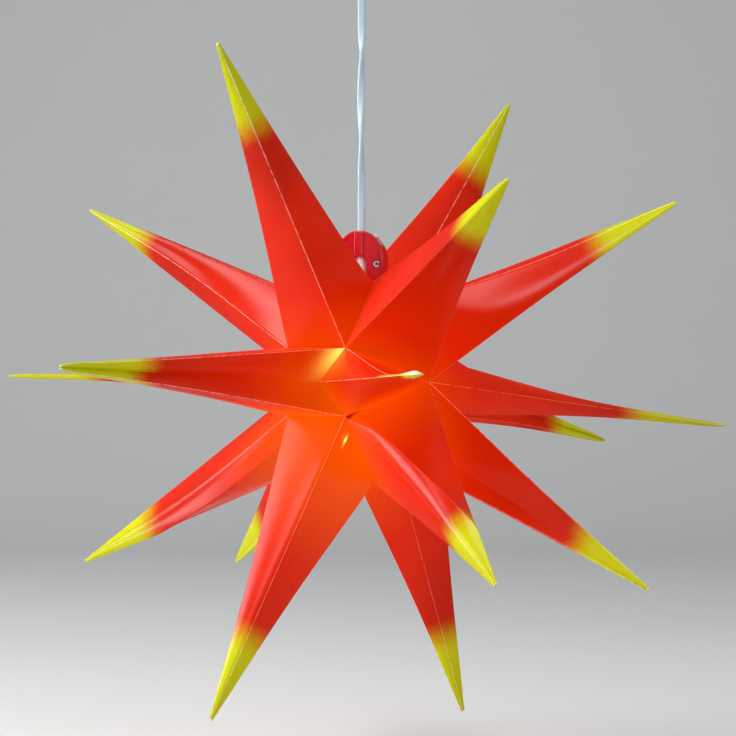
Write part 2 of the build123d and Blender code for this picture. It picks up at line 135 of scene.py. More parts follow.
# Length of the airbrushed point of each spike, from its tip to the middle of the fade
AIRBRUSH = {
    "upper": (0.068, 0.069, 0.078, 0.080, 0.065, 0.070),
    "middle": (0.090, 0.078, 0.070, 0.080, 0.078, 0.070),
    "lower": (0.070, 0.066, 0.069, 0.072, 0.073, 0.068),
}

# Panels given less of the airbrushed yellow, as a share of that length; on the middle front's underside this
# is painted shade, a redder point where it lies in shadow
SHADED_PANELS = {("middle_front", 2): 0.35, ("middle_front", 3): 0.6, ("middle_front_left", 0): 0.85}

# How white each fold is, for each base corner of a spike: partly the film's stress whitening, partly painted
# highlights along the ridges
FOLD_WHITE_AND_HIGHLIGHT = {
    "upper": ((0.06, 0.1, 0.2, 0.3), (0.2, 0.25, 0.25, 0.35), (0.2, 0.25, 0.25, 0.5),
              (0.4, 0.3, 0.25, 0.3), (0.15, 0.6, 0.4, 0.25), (0.12, 0.65, 0.3, 0.15)),
    "middle": ((0.1, 0.6, 0.6, 0.0), (0.2, 0.1, 0.25, 0.65), (0.25, 0.1, 0.3, 0.2, 0.1, 0.2),
               (0.3, 0.4, 0.3, 0.3), (0.3, 0.1, 0.3, 0.25), (0.7, 0.0, 0.5, 0.3, 0.1, 0.3)),
    "lower": ((0.2, 0.15, 0.15, 0.05), (0.25, 0.25, 0.25, 0.65), (0.2, 0.2, 0.2, 0.2),
              (0.2, 0.2, 0.2, 0.3), (0.2, 0.2, 0.2, 0.15), (0.15, 0.3, 0.35, 0.15)),
}

# How bright the red of each spike is, from its densest to its freshest: partly the print's own tone, partly
# painted shade on spikes away from the light, darkest on the lower back right
TONE_AND_PAINTED_SHADE = {
    "upper": (0.75, 0.8, 0.7, 0.7, 0.8, 0.75),
    "middle": (0.85, 0.75, 0.6, 0.7, 0.6, 0.75),
    "lower": (0.9, 0.75, 0.25, 0.5, 0.75, 0.95),
}

# Panels of dull film
DULL_PANELS = {
    ("upper_front", 3), ("upper_left", 0), ("upper_back_right", 2), ("upper_back_right", 3),
    ("middle_right", 2), ("middle_right", 3), ("middle_back_right", 4), ("middle_back_right", 5),
    ("lower_front", 3), ("lower_left", 2),
}

# Panels whose point is painted pale, a painted highlight on the lit top of the middle front's point, and how
# far from the tip
PAINTED_HIGHLIGHT_POINTS = {("middle_front", 0): 0.060, ("middle_front", 1): 0.045}

# Painted lamp light through loose seams: spike, panel, distance from its second ridge and spread beside it,
# then distance up the spike and spread up it, and strength, below zero for painted shade in a seam's corner
PAINTED_LEAKS_AND_SHADE = (
    ("middle_front_left", 1, 0.0030, 0.018, 0.0, 0.013, 1.0),
    ("lower_front_left", 1, 0.0130, 0.0009, 0.0092, 0.0028, 2.5),
    # Painted shade: the dark pocket where the lower front meets the middle front's underside
    ("lower_front", 2, 0.0, 0.0140, 0.0, 0.0050, -1.5),
)


# Sizes and colours that a user would change


def length(name, text, default):
    return FloatProperty(name=name, description=text, default=default, min=0.0, unit="LENGTH", precision=5)


def colour(name, text, default):
    return FloatVectorProperty(name=name, description=text, default=default, size=3, min=0.0, soft_max=1.0,
                               subtype="COLOR")


class FilmSettings(PropertyGroup):
    tip_reach: length("Tip Reach", "Hub middle to each cut tip", 0.300)
    tip_cut: length("Tip Cut", "Length cut off each point", 0.011)
    thick: length("Film", "Thickness of the film", 0.0006)
    bow: length("Bow", "How far a panel bows out of its plane", 0.0018)
    crease: length("Crease", "How far a folded ridge is rounded to each side", 0.0011)
    red: colour("Red", "Printed red of the film", (0.47, 0.011, 0.0015))
    # The deep red also gives painted shade, on the spikes that the brightness table darkens
    deep: colour("Deep Red", "Red where the print is densest", (0.30, 0.004, 0.001))
    yellow: colour("Yellow", "Airbrushed yellow of the points", (0.45, 0.46, 0.003))
    # The crease whites are partly stress whitening and partly painted highlights along the ridges
    pale: colour("Crease White", "Stressed film along a fold", (0.95, 0.50, 0.42))
    cream: colour("Crease Cream", "Stressed film along a fold of a yellow point", (0.90, 0.88, 0.60))
    # The cut edge's pale also paints a highlight on the middle front's point
    cut: colour("Cut Edge", "Pale film at a cut tip", (0.78, 0.76, 0.50))
    glow: colour("Glow", "Lamp light that the whole film lets through", (0.42, 0.014, 0.0))
    tip_glow: colour("Tip Glow", "Lamp light that a yellow point lets through", (0.30, 0.21, 0.0))
    warm: colour("Warm Glow", "Lamp light where the film is nearest to the globe", (0.22, 0.085, 0.0))
    # Painted shade: dark red, with faint emission, in the pocket at a seam's corner
    gap: colour("Gap", "Dark gap at a loose seam", (0.22, 0.003, 0.0))
    leak: colour("Leak", "Lamp light seen through a loose seam", (1.0, 0.88, 0.12))


class CapSettings(PropertyGroup):
    red: colour("Cap Red", "Moulded red of the clamp cap", (0.56, 0.010, 0.018))
    holder: colour("Holder White", "Moulded white of the lampholder", (0.88, 0.88, 0.88))
    ribs: IntProperty(name="Grip Ribs", description="Grip ribs round the retaining ring", default=36, min=6)
    rib_wide: length("Rib Width", "Width of a grip rib", 0.0016)


class LampSettings(PropertyGroup):
    opal: colour("Opal", "Diffuser globe", (0.92, 0.88, 0.78))
    light: colour("Lamp Light", "Colour of the lamp's light", (1.0, 0.72, 0.38))
    strength: FloatProperty(name="Strength", description="Brightness of the globe", default=3.0, min=0.0)


class LeadSettings(PropertyGroup):
    wide: length("Lead Width", "Broad side of the flat lead", 0.0062)
    thick: length("Lead Thickness", "Narrow side of the flat lead", 0.0032)
    # Painted light: the blue-grey is a white sheath darkened and tinted by the cool daylight on it
    white: colour("Lead White", "Sheath of the flat lead", (0.42, 0.55, 0.64))


class StageSettings(PropertyGroup):
    floor: colour("Floor", "Pale studio floor and backdrop", (0.74, 0.74, 0.73))
    depth: length("Floor Depth", "Floor below the frame's origin", 0.70)
    away: length("Camera Distance", "Camera to the star's axis", 1.5)
    lens: FloatProperty(name="Lens", description="Focal length on a 36 mm sensor", default=89.5, min=1.0)
    room: colour("Room", "Soft light of the room", (0.9, 0.95, 1.0))
    level: FloatProperty(name="Room Level", description="Brightness of the room", default=0.27, min=0.0)


class StarSettings(PropertyGroup):
    film: PointerProperty(type=FilmSettings)
    cap: PointerProperty(type=CapSettings)
    lamp: PointerProperty(type=LampSettings)
    lead: PointerProperty(type=LeadSettings)
    stage: PointerProperty(type=StageSettings)


def settings():
    return bpy.context.scene.film_star


# Shader helpers


def feed(tree, socket, value):
    """Link a socket, or set a plain number or colour."""
    if isinstance(value, bpy.types.NodeSocket):
        tree.links.new(value, socket)
    elif socket.type == "RGBA":
        socket.default_value = (*value[:3], 1.0)
    else:
        socket.default_value = value


def math_node(tree, operation, a, b=None, clamp=False):
    node = tree.nodes.new("ShaderNodeMath")
    node.operation = operation
    node.use_clamp = clamp
    feed(tree, node.inputs[0], a)
    if b is not None:
        feed(tree, node.inputs[1], b)
    return node.outputs[0]


def mix_node(tree, mask, a, b, blend="MIX"):
    node = tree.nodes.new("ShaderNodeMix")
    node.data_type = "RGBA"
    node.blend_type = blend
    feed(tree, node.inputs["Factor"], mask)
    feed(tree, node.inputs[6], a)
    feed(tree, node.inputs[7], b)
    return node.outputs[2]


def ramp_node(tree, value, low, high, smooth=True):
    node = tree.nodes.new("ShaderNodeMapRange")
    node.interpolation_type = "SMOOTHSTEP" if smooth else "LINEAR"
    feed(tree, node.inputs["Value"], value)
    node.inputs["From Min"].default_value = low
    node.inputs["From Max"].default_value = high
    return node.outputs["Result"]


def noise_out(tree, vector, scale, detail=2.0, rough=0.5):
    node = tree.nodes.new("ShaderNodeTexNoise")
    node.inputs["Scale"].default_value = scale
    node.inputs["Detail"].default_value = detail
    node.inputs["Roughness"].default_value = rough
    tree.links.new(vector, node.inputs["Vector"])
    return node.outputs["Fac"]


def object_place(tree):
    return tree.nodes.new("ShaderNodeTexCoord").outputs["Object"]


# Power by which nearness to a point falls off
NEARNESS_FALL = 1.2


class Shade:
    """A material under construction: its nodes, links and Principled shader."""

    def __init__(self, name, **values):
        self.material = bpy.data.materials.new(name)
        self.material.use_nodes = True
        self.tree = self.material.node_tree
        self.shader = self.tree.nodes["Principled BSDF"]
        for socket, value in values.items():
            self.shader.inputs[socket.replace("_", " ")].default_value = value

    def add(self, kind, **values):
        node = self.tree.nodes.new(kind)
        for key, value in values.items():
            setattr(node, key, value)
        return node

    def link(self, out, into):
        self.tree.links.new(out, into)

    def math(self, operation, a, b=None):
        return math_node(self.tree, operation, a, b)

    def mix(self, mask, a, b, blend="MIX"):
        return mix_node(self.tree, mask, a, b, blend)

    def ramp(self, value, low, high, smooth=True):
        return ramp_node(self.tree, value, low, high, smooth)

    def attribute(self, name):
        return self.add("ShaderNodeAttribute", attribute_name=name).outputs["Fac"]

    def nearness(self, centre, full, none):
        """One within a distance of a point, falling to nothing at a greater one."""
        away = self.add("ShaderNodeVectorMath", operation="DISTANCE")
        self.link(object_place(self.tree), away.inputs[0])
        away.inputs[1].default_value = centre
        return self.math("POWER", self.ramp(away.outputs["Value"], none, full, False), NEARNESS_FALL)

    def to(self, out, socket):
        self.link(out, self.shader.inputs[socket])

    def bump(self, height, strength, distance):
        node = self.add("ShaderNodeBump")
        node.inputs["Strength"].default_value = strength
        node.inputs["Distance"].default_value = distance
        self.link(height, node.inputs["Height"])
        self.to(node.outputs["Normal"], "Normal")


# Noise scales of a moulded surface's mottling and orange peel, how far the mottling changes its roughness,
# and how deep the peel is
MOTTLE_SCALE, PEEL_SCALE, ROUGHNESS_SPREAD, PEEL_HEIGHT = 45.0, 900.0, 0.15, 0.0002

# Noise scale of the streaks in drawn metal
STREAK_SCALE = 320.0


def moulded_group():
    """Moulded plastic: faint mottling of colour, a roughness that varies, and a fine orange-peel height."""
    name = "moulded_plastic"
    if name in bpy.data.node_groups:
        return bpy.data.node_groups[name]
    tree = bpy.data.node_groups.new(name, "ShaderNodeTree")
    face = tree.interface
    face.new_socket("Colour", in_out="INPUT", socket_type="NodeSocketColor")
    face.new_socket("Mottle", in_out="INPUT", socket_type="NodeSocketFloat").default_value = 0.08
    face.new_socket("Gloss", in_out="INPUT", socket_type="NodeSocketFloat").default_value = 0.3
    face.new_socket("Colour", in_out="OUTPUT", socket_type="NodeSocketColor")
    face.new_socket("Roughness", in_out="OUTPUT", socket_type="NodeSocketFloat")
    face.new_socket("Height", in_out="OUTPUT", socket_type="NodeSocketFloat")
    inlet = tree.nodes.new("NodeGroupInput")
    outlet = tree.nodes.new("NodeGroupOutput")
    place = object_place(tree)
    broad = noise_out(tree, place, MOTTLE_SCALE, 3.0)
    fine = noise_out(tree, place, PEEL_SCALE)
    dark = tree.nodes.new("ShaderNodeHueSaturation")
    tree.links.new(inlet.outputs["Colour"], dark.inputs["Color"])
    uneven = math_node(tree, "SUBTRACT", broad, 0.5)
    shade = math_node(tree, "MULTIPLY", uneven, inlet.outputs["Mottle"])
    tree.links.new(math_node(tree, "ADD", shade, 1.0), dark.inputs["Value"])
    tree.links.new(dark.outputs["Color"], outlet.inputs["Colour"])
    patch = math_node(tree, "MULTIPLY", uneven, ROUGHNESS_SPREAD)
    rough = math_node(tree, "ADD", patch, inlet.outputs["Gloss"], True)
    tree.links.new(rough, outlet.inputs["Roughness"])
    tree.links.new(fine, outlet.inputs["Height"])
    return tree


def moulded(name, tint, gloss=0.3, mottle=0.08, peel=0.1):
    """A moulded plastic material built on the shared group."""
    made = Shade(name)
    group = made.add("ShaderNodeGroup", node_tree=moulded_group())
    group.inputs["Colour"].default_value = (*tint, 1.0)
    group.inputs["Mottle"].default_value = mottle
    group.inputs["Gloss"].default_value = gloss
    made.to(group.outputs["Colour"], "Base Color")
    made.to(group.outputs["Roughness"], "Roughness")
    made.bump(group.outputs["Height"], peel, PEEL_HEIGHT)
    return made.material


def dimmed(tint, share):
    return tuple(part * share for part in tint)


def metal(name, tint):
    """Drawn metal with fine streaks."""
    made = Shade(name, Metallic=1.0)
    streak = noise_out(made.tree, object_place(made.tree), STREAK_SCALE, 4.0)
    made.to(made.mix(streak, dimmed(tint, 0.8), tint), "Base Color")
    made.to(made.ramp(streak, -1.5, 2.0, False), "Roughness")
    return made.material


def dress(material, *nodes):
    """Give CAD nodes their finished material."""
    for node in nodes:
        for entry in frame["nodes"][node].material_slots:
            entry.material = material


def piece(name, mesh, body, slot, *nodes):
    """A finished piece at the origin that rides on a body and stands for CAD nodes."""
    made = bpy.data.objects.new(name, mesh)
    bpy.context.scene.collection.objects.link(made)
    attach(made, body)
    if nodes:
        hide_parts(*nodes)
    return made


# Film star


def at(turn, radius, height):
    """A point on the hub from azimuth, distance from the axis and height, in millimetres and degrees."""
    spot = Vector((radius * sin(radians(turn)), -radius * cos(radians(turn)), height))
    return HUB + spot * MM


def seam_turn(seam):
    half, place = divmod(seam % len(COLUMNS), SEAMS_PER_HALF)
    return PINCH_TURN + HALF_TURN * half + (0, SIDE_SPREAD, FRONT_SPREAD)[place]


def belt_corner(seam, side):
    if seam % SEAMS_PER_HALF == 0:
        return at(seam_turn(seam), PINCH_RADIUS, 0)
    return at(seam_turn(seam), BELT_RADIUS, side * BELT_HEIGHT)


def mouth_corner(seam, side):
    if seam % SEAMS_PER_HALF == 2:
        return at(seam_turn(seam) + PEAK_TURN, PEAK_RADIUS, side * PEAK_HEIGHT)
    return at(seam_turn(seam), MOUTH_RADIUS, side * MOUTH_HEIGHT)


def side_corners(seam):
    """A middle spike's corners along one seam, from the bottom up."""
    if seam % SEAMS_PER_HALF == 0:
        return [belt_corner(seam, 0)]
    turn = FOLD_TURN if seam % SEAMS_PER_HALF == 1 else -FOLD_TURN
    return [belt_corner(seam, -1), at(seam_turn(seam) + turn, FOLD_RADIUS, 0), belt_corner(seam, 1)]


def base_corners(row, column):
    """The corners where a spike leaves the hub, counter-clockwise seen from outside."""
    left, right = column - 1, column
    if row == "middle":
        return side_corners(right) + side_corners(left)[::-1]
    side = 1 if row == "upper" else -1
    ring = [belt_corner(left, side), belt_corner(right, side)]
    ring += [mouth_corner(right, side), mouth_corner(left, side)]
    return ring if side > 0 else ring[::-1]


# Loops beside a ridge in metres from it, the share of a narrow panel that they may take, and loops between
RIDGE_STEPS = (0.0, 0.0004, 0.0010, 0.0022, 0.0055)
RIDGE_FIT, ACROSS = 0.35, 6

# Rings along a spike, crowded towards its base, and rings in the last share of it at the tip
BODY_RINGS, RING_CROWDING = 36, 1.3
TIP_RINGS, TIP_SHARE = 8, 0.06

# A pinched ridge draws in most beyond the spike's middle, and stays drawn in at the tip
BEND_SKEW, TIP_BEND, TIP_BEND_SKEW = 1.6, 0.6, 6

# Makes a panel's bow and second fold stand out fully a third of the way along
FULLNESS = 2.6

# Folds are whiter this near to a base corner
CORNER_STRESS = 0.008

# Shares of a spike within which a slack ridge gives way, and a soft ridge gets its full rounding
BASE_SHARE, SOFT_SHARE = 0.02, 0.15

# A ridge's rounding takes this share of a panel at most
ROUND_SHARE = 0.3

# Loops beside a second fold in metres from it, their largest share of a panel, and the fold's least share
FOLD_GAP, FOLD_GAP_SHARE, FOLD_EDGE = 0.0012, 0.02, 0.04


def across_shares(wide):
    """Where a panel's loops lie between its two ridges, close together beside each fold."""
    fit = min(1.0, RIDGE_FIT * wide / RIDGE_STEPS[-1])
    near = [step * fit / wide for step in RIDGE_STEPS]
    span = 1.0 - 2 * near[-1]
    inside = [near[-1] + span * k / ACROSS for k in range(1, ACROSS)]
    return near + inside + [1.0 - step for step in reversed(near)]


class Spike:
    """One hollow point: where its ridges run, and what its film shows at each place."""

    def __init__(self, row, column):
        film = settings().film
        self.film = film
        self.name = f"{row}_{COLUMNS[column]}"
        turn, rise = (radians(angle) for angle in LEANS[row][column])
        axis = Vector((sin(turn) * cos(rise), -cos(turn) * cos(rise), sin(rise)))
        self.tip = HUB + axis * film.tip_reach
        self.apex = HUB + axis * (film.tip_reach + film.tip_cut)
        self.corners = base_corners(row, column)
        self.count = len(self.corners)
        self.middle = sum(self.corners, Vector()) / self.count
        self.spine = self.apex - self.middle
        self.end = 1.0 - film.tip_cut / self.spine.length
        self.pinches = PINCHES.get(self.name, (EVEN_PINCH,) * self.count)
        self.slacks = SLACK.get(self.name, (0.0,) * self.count)
        self.blunt, self.open_end = BLUNT.get(self.name, (0.0, 1.0))
        self.airbrush = AIRBRUSH[row][column]
        self.creases = FOLD_WHITE_AND_HIGHLIGHT[row][column]
        self.brightness = TONE_AND_PAINTED_SHADE[row][column]
        self.normals = [self.panel_normal(i) for i in range(self.count)]

    def panel_normal(self, i):
        a, b = self.corners[i], self.corners[(i + 1) % self.count]
        return (b - a).cross(self.apex - a).normalized()

    def shares(self):
        """Places of the rings from the base to the cut tip."""
        last = 1.0 - TIP_SHARE
        body = [self.end * last * (k / BODY_RINGS) ** RING_CROWDING for k in range(BODY_RINGS + 1)]
        tip = [self.end * (last + TIP_SHARE * k / TIP_RINGS) for k in range(1, TIP_RINGS + 1)]
        return body + tip

    def width(self, along):
        """Width left at a share of the way along, as a share of the base's."""
        taper = sqrt((1.0 - along) ** 2 + (self.blunt * along) ** 2)
        closing = max(0.0, along / self.end - 1.0 + TIP_SHARE) / TIP_SHARE
        return taper * sqrt(1.0 - (1.0 - self.open_end**2) * closing**2)

    def ridge_point(self, i, along):
        i %= self.count
        bend = max(sin(pi * along**BEND_SKEW), TIP_BEND * along**TIP_BEND_SKEW)
        early = (1.0 - exp(-along / BASE_SHARE)) * (1.0 - bend)
        width = self.width(along) * (1.0 - self.pinches[i] * bend - self.slacks[i] * early)
        return self.middle + self.spine * along + (self.corners[i] - self.middle) * width

    def fold_place(self, i, along, wide):
        """Where a panel's second fold lies between its two ridges, or nothing."""
        if (self.name, i) not in FOLDS:
            return None
        start, growth, _ = FOLDS[self.name, i]
        return 1.0 - min(1.0 - FOLD_EDGE, max(FOLD_EDGE, (start + growth * along) / wide))

    def shares_across(self, i, along, wide):
        """Where a panel's loops lie between its two ridges."""
        shares = across_shares(wide)[:-1]
        place = self.fold_place(i, along, wide)
        if place:
            gap = min(FOLD_GAP_SHARE, FOLD_GAP / wide)
            shares = sorted(shares + [place - gap, place, place + gap])
        return shares

    def rise(self, i, u, along, wide):
        """How far a panel stands out of its plane, from its bow and its second fold."""
        fullness = sqrt(along) * (1.0 - along) * FULLNESS
        bow, skew = BOWS.get((self.name, i), (self.film.bow, 1.0))
        rise = bow * fullness * sin(pi * u**skew)
        place = self.fold_place(i, along, wide)
        if place:
            slope = u / place if u < place else (1.0 - u) / (1.0 - place)
            rise += FOLDS[self.name, i][2] * slope * min(1.0, fullness)
        return rise

    def rounding(self, i, u, along, wide):
        """How far the nearest ridge's rounding takes the film inwards."""
        ridge = i if u < 0.5 else (i + 1) % self.count
        before, after = self.normals[ridge - 1], self.normals[ridge]
        soft = SOFT_RIDGES.get((self.name, ridge), 0.0) * min(1.0, along / SOFT_SHARE)
        reach = min(max(soft, self.film.crease), ROUND_SHARE * wide)
        depth = reach * tan(before.angle(after) / 4)
        near = max(0.0, 1.0 - min(u, 1.0 - u) * wide / reach)
        return (before + after).normalized() * -depth * near**2

    def leak(self, i, u, along, wide):
        """Painted lamp light that comes through a loose seam at this place of a panel; a strength below zero
        gives painted shade instead.
        """
        total = 0.0
        for name, panel, place, spread, start, reach, strength in PAINTED_LEAKS_AND_SHADE:
            if name == self.name and panel == i:
                sideways = ((1.0 - u) * wide - place) / spread
                up = (along * self.spine.length - start) / reach
                total += strength * exp(-sideways**2 - up**2)
        return total

    def spray(self, i, reach):
        """Distance from the tip as a share of the airbrushed length, which is shortened on panels with
        painted shade; below zero on a painted highlight at the point.
        """
        pale = PAINTED_HIGHLIGHT_POINTS.get((self.name, i), 0.0)
        if reach < pale:
            return reach / pale - 1.0
        return reach / (self.airbrush * SHADED_PANELS.get((self.name, i), 1.0))

    def mesh(self):
        """The film as a grid of panels and folds, with a pale cut end."""
        bm = bmesh.new()
        layers = {name: bm.verts.layers.float.new(name)
                  for name in ("airbrush", "ridge", "crease", "leak", "brightness", "dull")}
        grid = []
        for along in self.shares():
            ring = []
            for i in range(self.count):
                a, b = self.ridge_point(i, along), self.ridge_point(i + 1, along)
                wide = (b - a).length
                stress = 1.0 + exp(-along * self.spine.length / CORNER_STRESS)
                for u in self.shares_across(i, along, wide):
                    spot = a.lerp(b, u) + self.normals[i] * self.rise(i, u, along, wide)
                    spot = spot + self.rounding(i, u, along, wide)
                    vert = bm.verts.new(spot)
                    nearest = i if u < 0.5 else (i + 1) % self.count
                    vert[layers["airbrush"]] = self.spray(i, (self.tip - spot).length)
                    vert[layers["ridge"]] = min(u, 1.0 - u) * wide
                    vert[layers["crease"]] = min(1.0, self.creases[nearest] * stress)
                    vert[layers["leak"]] = self.leak(i, u, along, wide)
                    vert[layers["brightness"]] = self.brightness
                    vert[layers["dull"]] = float((self.name, i) in DULL_PANELS)
                    ring.append(vert)
            grid.append(ring)
        around = len(grid[0])
        for low, high in zip(grid, grid[1:]):
            for k in range(around):
                n = (k + 1) % around
                bm.faces.new((low[k], low[n], high[n], high[k]))
        rim = [bm.verts.new(vert.co) for vert in grid[-1]]
        for vert in rim:
            vert[layers["airbrush"]] = -1.0
        bm.faces.new(rim)
        bm.normal_update()
        mesh = bpy.data.meshes.new(f"{self.name}_film")
        bm.to_mesh(mesh)
        bm.free()
        mesh.shade_smooth()
        return mesh


# Noise scales of the print's clouds, the airbrush's spray, the film's grain and its ripples
CLOUD_SCALE, SPRAY_SCALE, GRAIN_SCALE, RIPPLE_SCALE = 14.0, 70.0, 260.0, 26.0

# The airbrush's ragged edge, and where its fade starts and ends, as shares of the airbrushed length
RAGGED, FADE_START, FADE_END = 0.16, 1.22, 0.78

# Distance from a ridge at which its white line starts, and at which it is full
LINE_START, LINE_FULL = 0.0006, 0.0002

# The lamp's glow and its warm heart: where they lie, and where they are full and end
GLOW_PLACE, GLOW_FULL, GLOW_END = HUB + Vector((10.0, -10.0, -25.0)) * MM, 0.05, 0.32
WARM_PLACE, WARM_FULL, WARM_END = HUB + Vector((-25.0, -25.0, -40.0)) * MM, 0.02, 0.12
LEAK_CORE = (1.0, 1.0, 0.9)
UNLIT = (0.0, 0.0, 0.0)

# How much rougher dull film is, and how the film's grain and ripples stand out
DULL_ROUGHNESS = 0.6
GRAIN_SHARE, RIPPLE_STRENGTH, RIPPLE_HEIGHT = 0.03, 0.15, 0.002


def film_material():
    """Printed film: red with airbrushed yellow points, white lines on the folds that are stress whitening and
    painted highlights, painted lamp light from inside, painted shade in a seam's corner, and a painted
    highlight at one point.
    """
    film = settings().film
    made = Shade("printed_film", IOR=1.45, Specular_IOR_Level=0.13, Emission_Strength=1.0)
    tree = made.tree
    place = object_place(tree)
    cloud = noise_out(tree, place, CLOUD_SCALE)
    spray = noise_out(tree, place, SPRAY_SCALE, 5.0, 0.7)
    grain = noise_out(tree, place, GRAIN_SCALE, 3.0)
    ripple = noise_out(tree, place, RIPPLE_SCALE, 1.0)

    # Spike brightness and the print's clouds darken the red: print tone, and painted shade on spikes away
    # from the light
    tone_and_shade = made.math("ADD", made.attribute("brightness"), made.ramp(cloud, 0.2, 0.8, False))
    red = made.mix(made.ramp(tone_and_shade, 0.5, 1.5, False), film.deep, film.red)
    tip = made.attribute("airbrush")
    loose = made.math("MULTIPLY", made.math("SUBTRACT", spray, 0.5), RAGGED)
    yellow_mask = made.ramp(made.math("ADD", tip, loose), FADE_START, FADE_END)
    print_colour = made.mix(yellow_mask, red, film.yellow)

    # White fold lines, broken up by the grain: stress whitening and painted highlights along the ridges
    line = made.ramp(made.attribute("ridge"), LINE_START, LINE_FULL)
    patchy = made.ramp(grain, 0.25, 0.6)
    line = made.math("MULTIPLY", made.math("MULTIPLY", line, made.attribute("crease")), patchy)
    body = made.mix(line, print_colour, made.mix(yellow_mask, film.pale, film.cream))
    # Pale cut end, also a painted highlight on the middle front's point
    cut = made.ramp(tip, -0.2, -0.6)
    light = made.attribute("leak")
    # Painted shade where the seam strength is below zero
    gap = made.ramp(light, -0.1, -0.8)
    made.to(made.mix(gap, made.mix(cut, body, film.cut), film.gap), "Base Color")

    through = made.mix(yellow_mask, film.glow, film.tip_glow)
    glow = made.mix(made.nearness(GLOW_PLACE, GLOW_FULL, GLOW_END), UNLIT, through)
    warm = made.mix(made.nearness(WARM_PLACE, WARM_FULL, WARM_END), UNLIT, film.warm)
    core = made.mix(made.ramp(light, 0.9, 1.6), film.leak, LEAK_CORE)
    leak = made.mix(light, UNLIT, core)
    shine = made.mix(1.0, made.mix(1.0, glow, warm, "ADD"), leak, "ADD")
    # Emission, with faint dark red in the painted shade of a seam's corner
    made.to(made.mix(gap, shine, film.gap), "Emission Color")

    dull = made.math("MULTIPLY", made.attribute("dull"), DULL_ROUGHNESS)
    made.to(made.math("ADD", made.ramp(cloud, -1.0, 5.0, False), dull), "Roughness")
    height = made.math("ADD", ripple, made.math("MULTIPLY", grain, GRAIN_SHARE))
    made.bump(height, RIPPLE_STRENGTH, RIPPLE_HEIGHT)
    return made.material


class SpikesOperator(Operator):
    """Build the folded film spikes with their creases and airbrushed points"""
    bl_idname = "film_star.spikes"
    bl_label = "Film Spikes"

    def execute(self, context):
        finish = film_material()
        for row in ROWS:
            for column, name in enumerate(COLUMNS):
                mesh = Spike(row, column).mesh()
                mesh.materials.append(finish)
                made = piece(f"{row}_film_{name}", mesh, "star", "film", f"{row}_spike_{name}")
                wall = made.modifiers.new("film_wall", "SOLIDIFY")
                wall.thickness = settings().film.thick
                wall.offset = -1.0
        return {"FINISHED"}


# Geometry Nodes helpers


class Tree:
    """A Geometry Nodes tree under construction, with named inputs."""

    def __init__(self, name, inputs, from_object=False):
        self.tree = bpy.data.node_groups.new(name, "GeometryNodeTree")
        face = self.tree.interface
        face.new_socket("Geometry", in_out="OUTPUT", socket_type="NodeSocketGeometry")
        if from_object:
            face.new_socket("Geometry", in_out="INPUT", socket_type="NodeSocketGeometry")
        self.ids = {}
        for label, kind in inputs:
            socket = face.new_socket(label, in_out="INPUT", socket_type=f"NodeSocket{kind}")
            self.ids[label] = socket.identifier
        self.inlet = self.tree.nodes.new("NodeGroupInput")
        self.outlet = self.tree.nodes.new("NodeGroupOutput")

    def add(self, kind, inputs=None, **values):
        node = self.tree.nodes.new(kind)
        for key, value in values.items():
            setattr(node, key, value)
        for key, value in (inputs or {}).items():
            if isinstance(value, bpy.types.NodeSocket):
                self.tree.links.new(value, node.inputs[key])
            else:
                node.inputs[key].default_value = value
        return node

    def value(self, label):
        return self.inlet.outputs[label]

    def end(self, geometry):
        """Close the tree with real geometry and its material."""
        real = self.add("GeometryNodeRealizeInstances", {"Geometry": geometry})
        paint = self.add("GeometryNodeSetMaterial", {
            "Geometry": real.outputs[0], "Material": self.value("Material"),
        })
        self.tree.links.new(paint.outputs[0], self.outlet.inputs[0])

    def bake(self, name, values, data=None):
        """Run the tree with these inputs and give back a plain mesh."""
        base = bpy.data.objects.new(name, data or bpy.data.meshes.new(name))
        bpy.context.scene.collection.objects.link(base)
        run = base.modifiers.new(name, "NODES")
        run.node_group = self.tree
        for label, value in values.items():
            run[self.ids[label]] = value
        bpy.context.view_layer.update()
        graph = bpy.context.evaluated_depsgraph_get()
        mesh = bpy.data.meshes.new_from_object(base.evaluated_get(graph))
        base.modifiers.remove(run)
        bpy.data.objects.remove(base)
        return mesh


def ribs_tree():
    """Blocks set round a vertical axis."""
    tree = Tree("ribs_round_axis", [
        ("Count", "Int"), ("Radius", "Float"), ("Size", "Vector"), ("Lift", "Vector"),
        ("Material", "Material"),
    ])
    ring = tree.add("GeometryNodeMeshCircle", {
        "Vertices": tree.value("Count"), "Radius": tree.value("Radius"),
    })
    block = tree.add("GeometryNodeMeshCube", {"Size": tree.value("Size")})
    where = tree.add("GeometryNodeInputPosition")
    face = tree.add("FunctionNodeAlignRotationToVector", {"Vector": where.outputs[0]}, axis="X")
    spread = tree.add("GeometryNodeInstanceOnPoints", {
        "Points": ring.outputs[0], "Instance": block.outputs[0], "Rotation": face.outputs[0],
    })
    moved = tree.add("GeometryNodeTransform", {
        "Geometry": spread.outputs[0], "Translation": tree.value("Lift"),
    })
    tree.end(moved.outputs[0])
    return tree


# Clamp cap and lampholder


# Middles of the painted shade in the hollows of the pins' heads, how far each is dark and where it ends
PIN_HOLLOWS = ((0.0156, -0.0127, -0.2660), (-0.0168, -0.0066, -0.2660))
HOLLOW_FULL, HOLLOW_END = 0.0017, 0.0021

# How far a grip rib stands out, how tall it is, and where it sits above the ring's foot
RIB_OUT, RIB_TALL, RIB_LIFT = 0.0016, 0.002, 0.006


